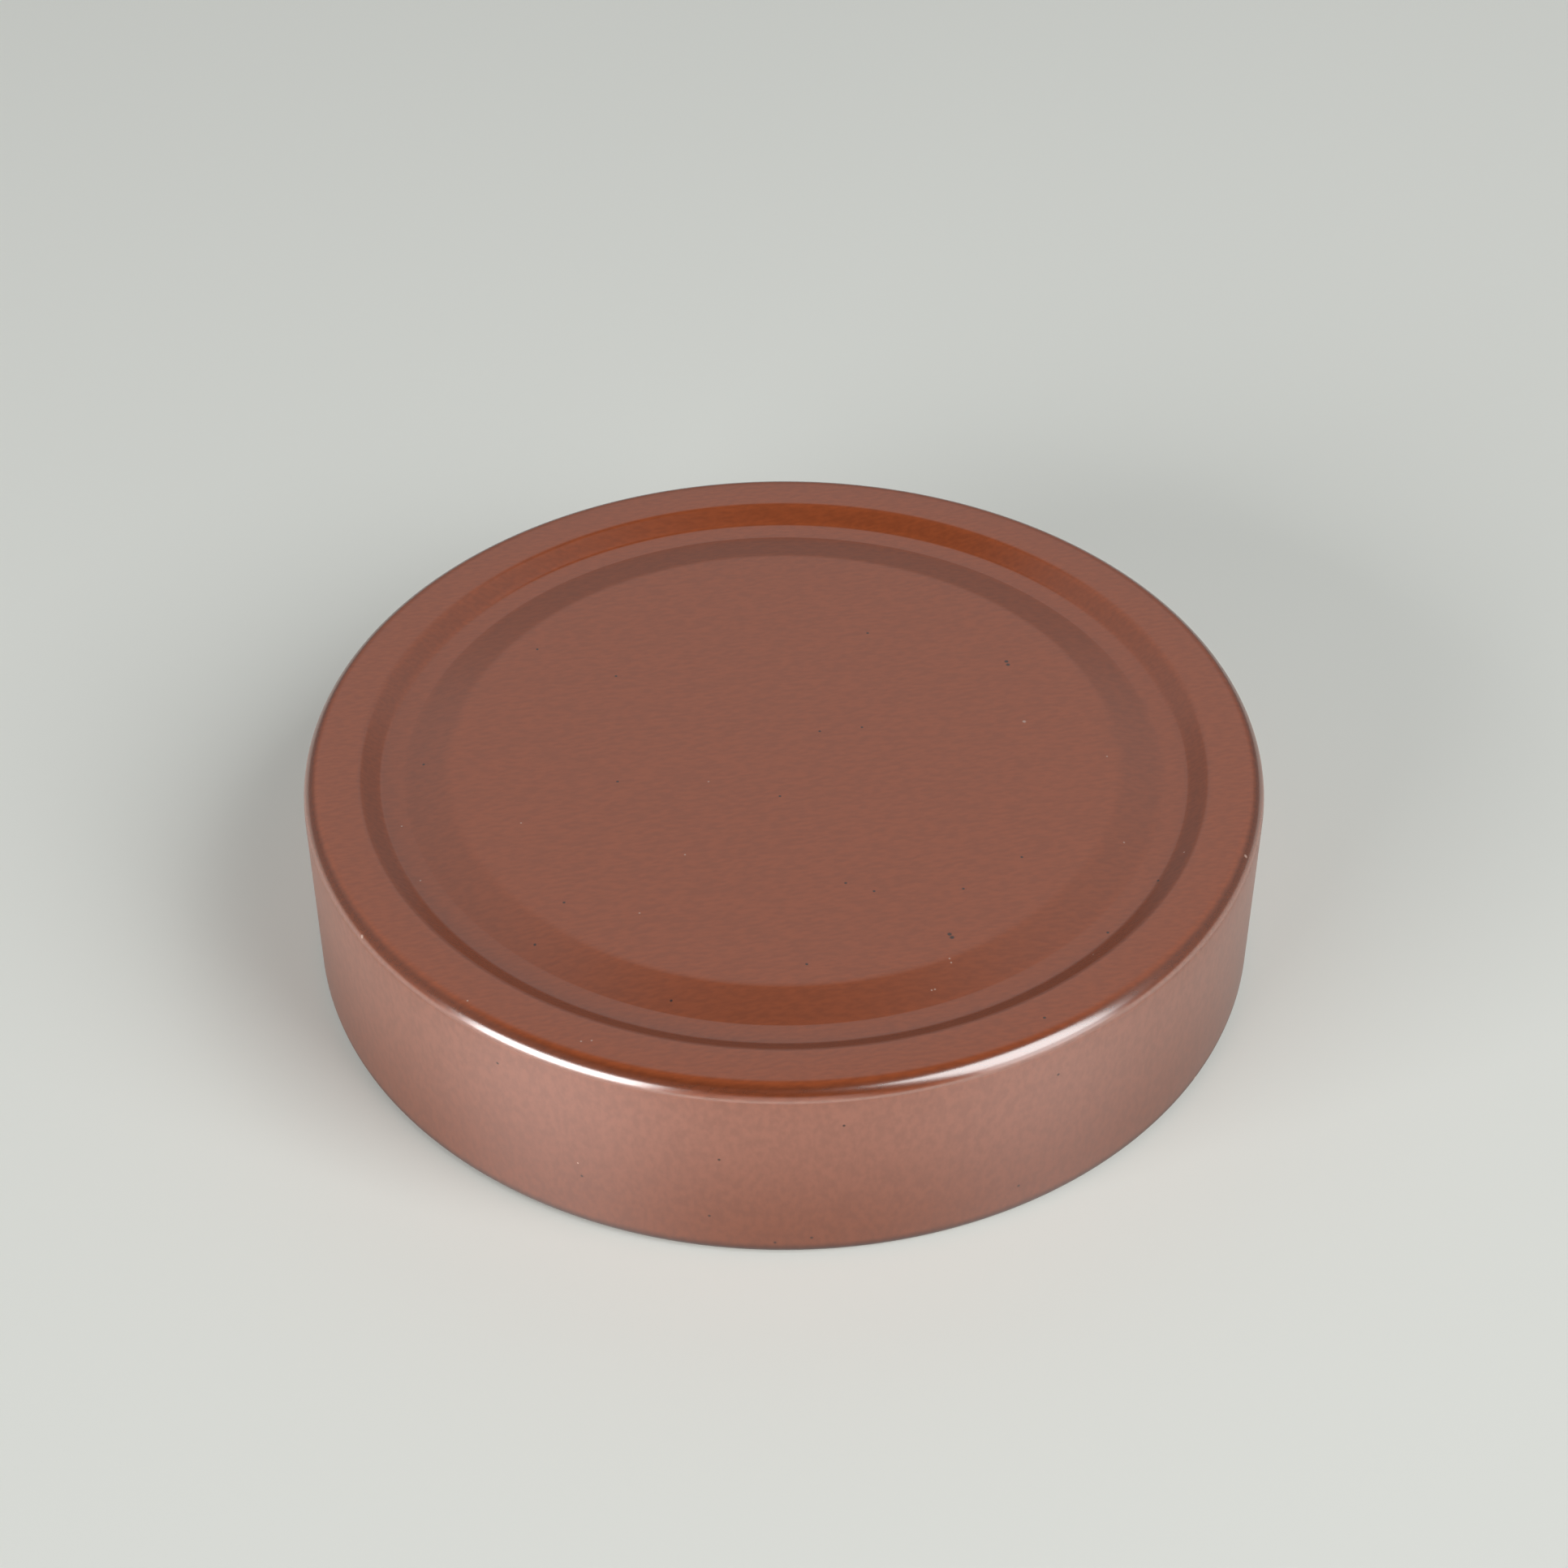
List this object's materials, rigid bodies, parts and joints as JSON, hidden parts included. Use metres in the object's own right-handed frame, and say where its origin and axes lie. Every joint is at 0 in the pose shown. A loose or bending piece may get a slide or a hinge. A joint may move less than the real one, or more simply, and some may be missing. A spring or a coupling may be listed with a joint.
{
  "type": "twist off jar lid",
  "caption": "Deep round metal twist-off lid: a stepped top panel, a plain straight skirt with a rolled hem and pressed lugs, and a sealing ring under the rim.",
  "frame": {"origin": "on the lid's axis at the foot of the hem, where the open edge rests on a table", "axes": "+Z along the lid's axis from the open mouth to the top panel; +X and +Y each through the middle of a lug"},
  "size_m": [0.074, 0.074, 0.0165],
  "materials": {
    "lacquered_tinplate": "clear copper-tinted lacquer over rolled tinplate, satin metallic",
    "sealing_compound": "matt, off-white"
  },
  "bodies": {
    "root": {"lid_shell": "lacquered_tinplate", "sealing_ring": "sealing_compound"}
  },
  "joints": []
}
